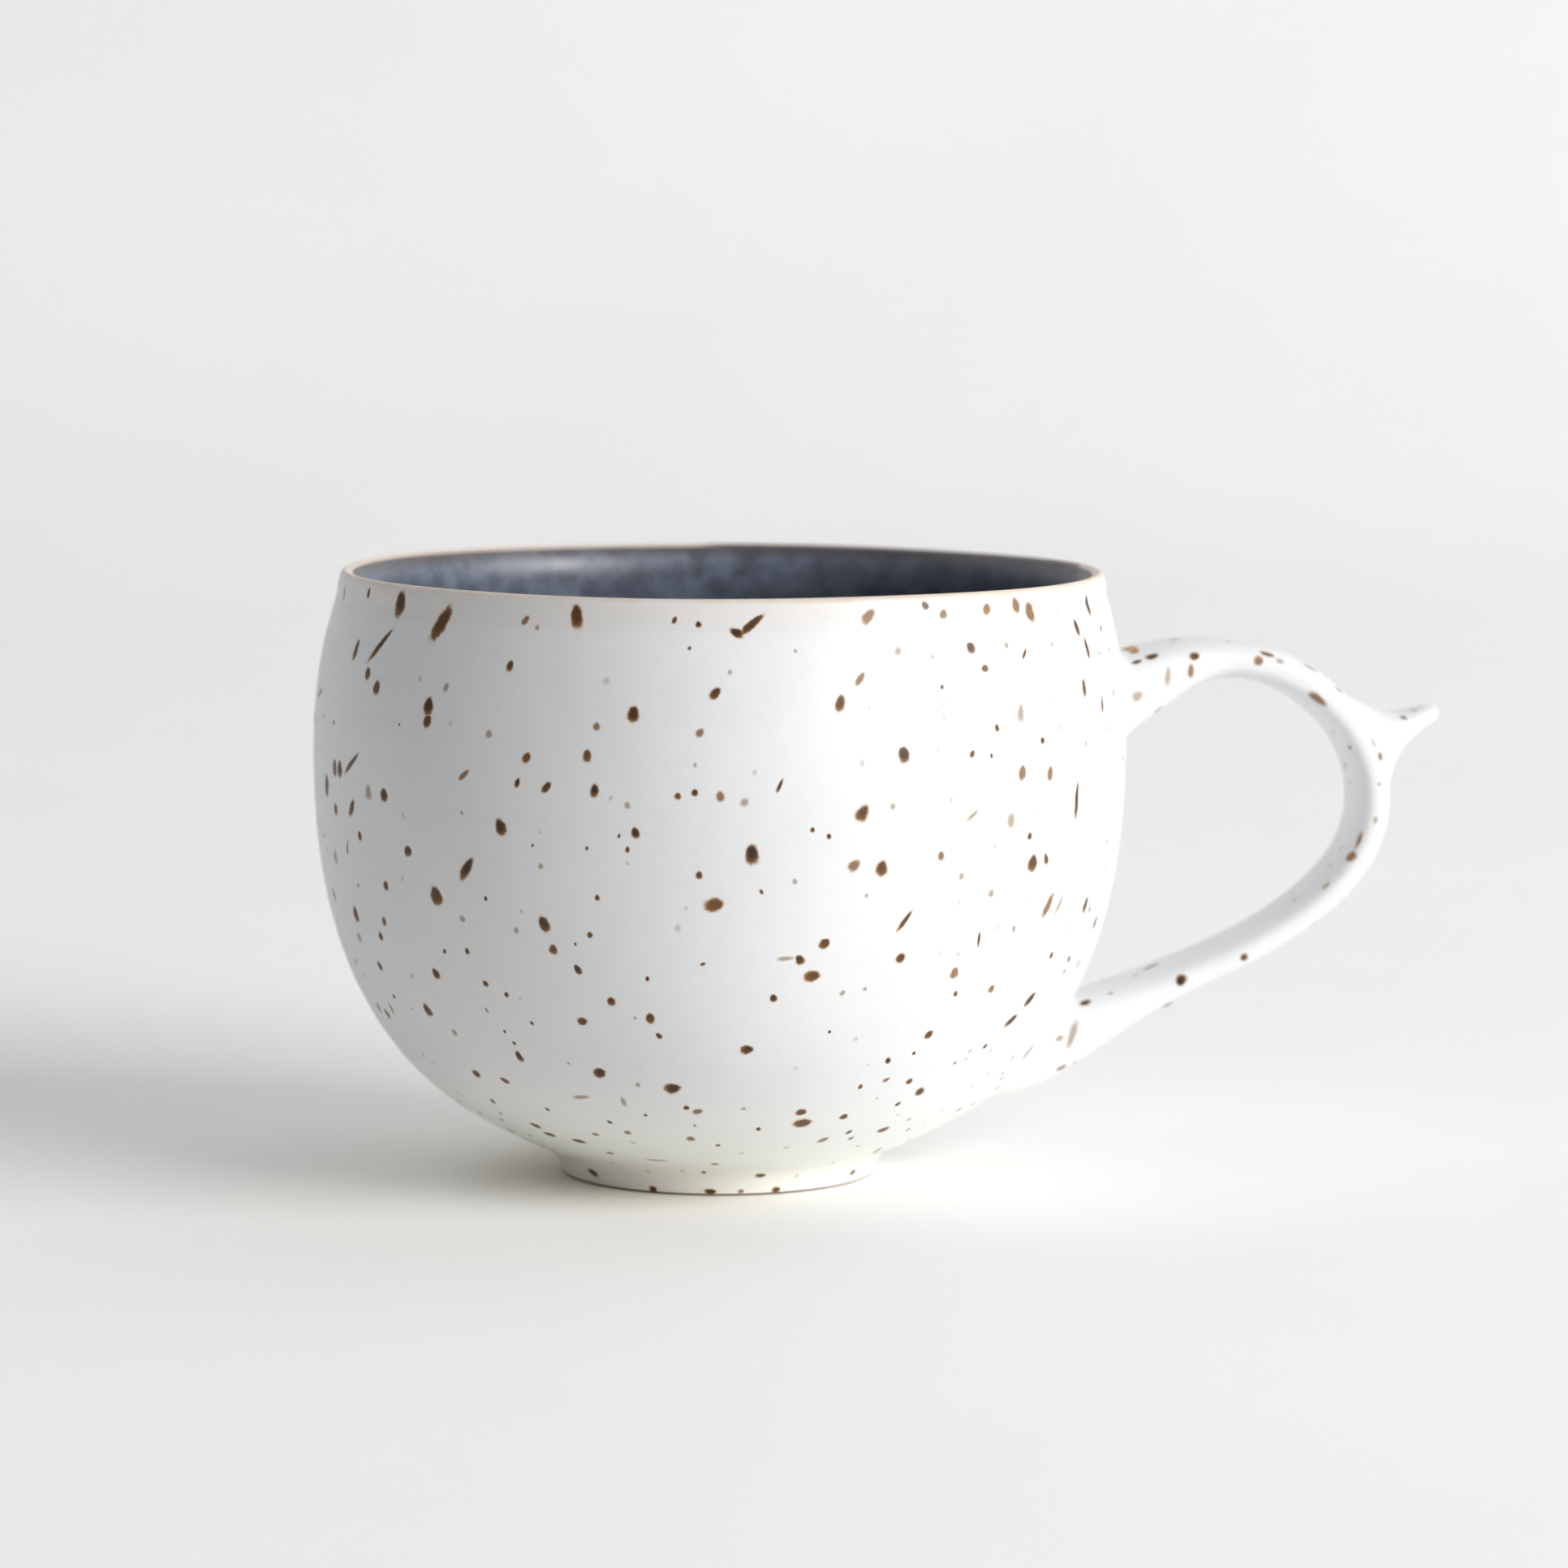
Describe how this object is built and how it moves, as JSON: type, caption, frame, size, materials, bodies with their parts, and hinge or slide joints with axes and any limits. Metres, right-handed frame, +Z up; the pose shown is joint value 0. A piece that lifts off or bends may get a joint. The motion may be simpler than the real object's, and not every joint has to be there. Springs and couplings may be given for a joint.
{
  "type": "mug",
  "caption": "Round-bellied stoneware mug with a foot ring, a thumb-spurred loop handle, a speckled white outside glaze and a dark inside glaze.",
  "frame": {"origin": "centre of the foot ring's resting plane, on the axis of the bowl", "axes": "+Z up along the bowl's axis, +X from the axis towards the handle, +Y completes a right-handed frame"},
  "size_m": [0.141, 0.1, 0.0749],
  "materials": {
    "bare_clay": "matt fired buff stoneware with iron specks",
    "speckled_white_glaze": "satin-matt off-white with brown iron speckles",
    "slate_liner_glaze": "glossy dark slate with a soft blue-grey mottle"
  },
  "bodies": {
    "root": {"clay_vessel": "bare_clay", "foot_ring": "bare_clay", "handle_strap": "bare_clay", "thumb_spur": "bare_clay", "upper_luting": "bare_clay", "lower_luting": "bare_clay", "outer_glaze": "speckled_white_glaze", "handle_glaze": "speckled_white_glaze", "base_glaze": "speckled_white_glaze", "liner_glaze": "slate_liner_glaze"}
  },
  "joints": []
}
